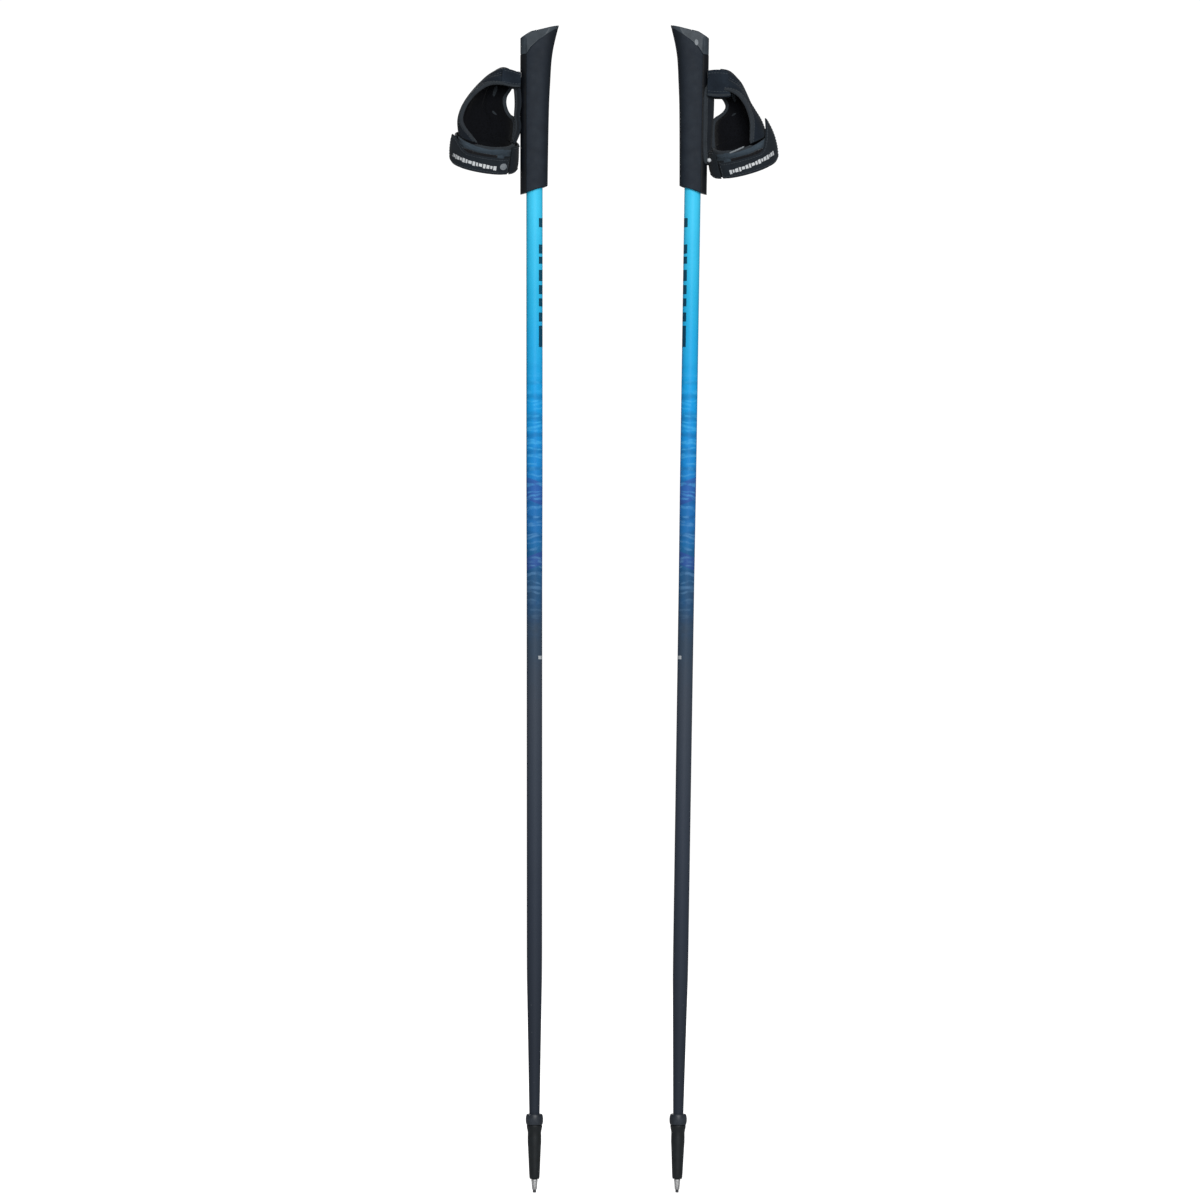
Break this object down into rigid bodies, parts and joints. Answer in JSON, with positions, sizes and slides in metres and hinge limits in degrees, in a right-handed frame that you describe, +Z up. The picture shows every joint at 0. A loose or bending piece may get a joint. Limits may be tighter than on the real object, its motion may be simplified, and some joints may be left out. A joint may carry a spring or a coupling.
{
  "type": "trekking pole pair",
  "caption": "Fixed-length walking poles with tapered tube shafts, slanted grips with a push-button release, half-glove wrist straps and hard tips with small collars.",
  "frame": {"origin": "on the ground under the middle of the pair, at the height of the tips", "axes": "+Z up the poles; +X from the left pole to the right pole; -Y faces the viewer who sees the prints on the straps"},
  "size_m": [0.3244, 0.0634, 1.1503],
  "materials": {
    "blue_shaft": "bright blue enamel at the top, fading through darker blue bands to dark grey",
    "grip_rubber": "fine matt",
    "grip_core_plastic": "matt",
    "cap_plastic": "satin",
    "button_plastic": "satin",
    "spring_steel": "bright",
    "connector_plastic": "satin",
    "pin_steel": "bright",
    "webbing": "woven",
    "web_padding": "knit",
    "panel_padding": "knit over foam",
    "cuff_padding": "knit over foam",
    "band_fabric": "woven",
    "tab_fabric": "woven, with white print",
    "hook_tape": "hook tape",
    "loop_tape": "brushed loop tape",
    "ring_plastic": "satin",
    "ferrule_plastic": "satin",
    "socket_steel": "bright",
    "carbide": "ground"
  },
  "bodies": {
    "left_pole": {"left_shaft": "blue_shaft", "left_basket_ring": "ring_plastic", "left_ferrule": "ferrule_plastic", "left_tip_socket": "socket_steel", "left_carbide_tip": "carbide", "left_grip_core": "grip_core_plastic", "left_grip_sleeve": "grip_rubber", "left_head_cap": "cap_plastic", "left_catch_spring": "spring_steel"},
    "left_button": {"left_release_button": "button_plastic"},
    "left_connector_body": {"left_connector": "connector_plastic", "left_strap_bar": "pin_steel"},
    "left_strap": {"left_strap_tongue": "webbing", "left_thumb_web": "web_padding", "left_hand_panel": "panel_padding", "left_cuff": "cuff_padding", "left_loop_patch": "loop_tape", "left_wrist_band": "band_fabric"},
    "left_tab": {"left_cuff_tab": "tab_fabric", "left_hook_patch": "hook_tape"},
    "right_pole": {"right_shaft": "blue_shaft", "right_basket_ring": "ring_plastic", "right_ferrule": "ferrule_plastic", "right_tip_socket": "socket_steel", "right_carbide_tip": "carbide", "right_grip_core": "grip_core_plastic", "right_grip_sleeve": "grip_rubber", "right_head_cap": "cap_plastic", "right_catch_spring": "spring_steel"},
    "right_button": {"right_release_button": "button_plastic"},
    "right_connector_body": {"right_connector": "connector_plastic", "right_strap_bar": "pin_steel"},
    "right_strap": {"right_strap_tongue": "webbing", "right_thumb_web": "web_padding", "right_hand_panel": "panel_padding", "right_cuff": "cuff_padding", "right_loop_patch": "loop_tape", "right_wrist_band": "band_fabric"},
    "right_tab": {"right_cuff_tab": "tab_fabric", "right_hook_patch": "hook_tape"}
  },
  "joints": [
    {"name": "left_button_press", "type": "slide", "parent": "left_pole", "child": "left_button", "axis": [0, 0, -1], "range_m": [0, 0.0025], "stiffness_N_per_m": 800, "springref_m": -0.001, "deforming": ["left_catch_spring"]},
    {"name": "left_strap_release", "type": "slide", "parent": "left_pole", "child": "left_connector_body", "axis": [-1, 0, 0], "range_m": [0, 0.022], "deforming": ["left_catch_spring"]},
    {"name": "left_strap_swing", "type": "hinge", "parent": "left_connector_body", "child": "left_strap", "pos_m": [-0.0977, 0, 1.101], "axis": [0, 1, 0], "range_deg": [0, 60]},
    {"name": "left_tab_peel", "type": "hinge", "parent": "left_strap", "child": "left_tab", "pos_m": [-0.10232, -0.01487, 1.01601], "axis": [0.1677, -0.2588, 0.9513], "range_deg": [0, 75]},
    {"name": "right_button_press", "type": "slide", "parent": "right_pole", "child": "right_button", "axis": [-0.0155, 0, -0.9999], "range_m": [0, 0.0025], "stiffness_N_per_m": 800, "springref_m": -0.001, "deforming": ["right_catch_spring"]},
    {"name": "right_strap_release", "type": "slide", "parent": "right_pole", "child": "right_connector_body", "axis": [0.9999, 0, -0.0155], "range_m": [0, 0.022], "deforming": ["right_catch_spring"]},
    {"name": "right_strap_swing", "type": "hinge", "parent": "right_connector_body", "child": "right_strap", "pos_m": [0.09888, 0, 1.10059], "axis": [0, -1, 0], "range_deg": [0, 60]},
    {"name": "right_tab_peel", "type": "hinge", "parent": "right_strap", "child": "right_tab", "pos_m": [0.10334, -0.01487, 1.01152], "axis": [0.268, 0.2588, -0.928], "range_deg": [0, 75]},
    {"name": "right_pole_lift", "type": "slide", "parent": "left_pole", "child": "right_pole", "axis": [0, 0, 1], "range_m": [0, 1.2]}
  ]
}
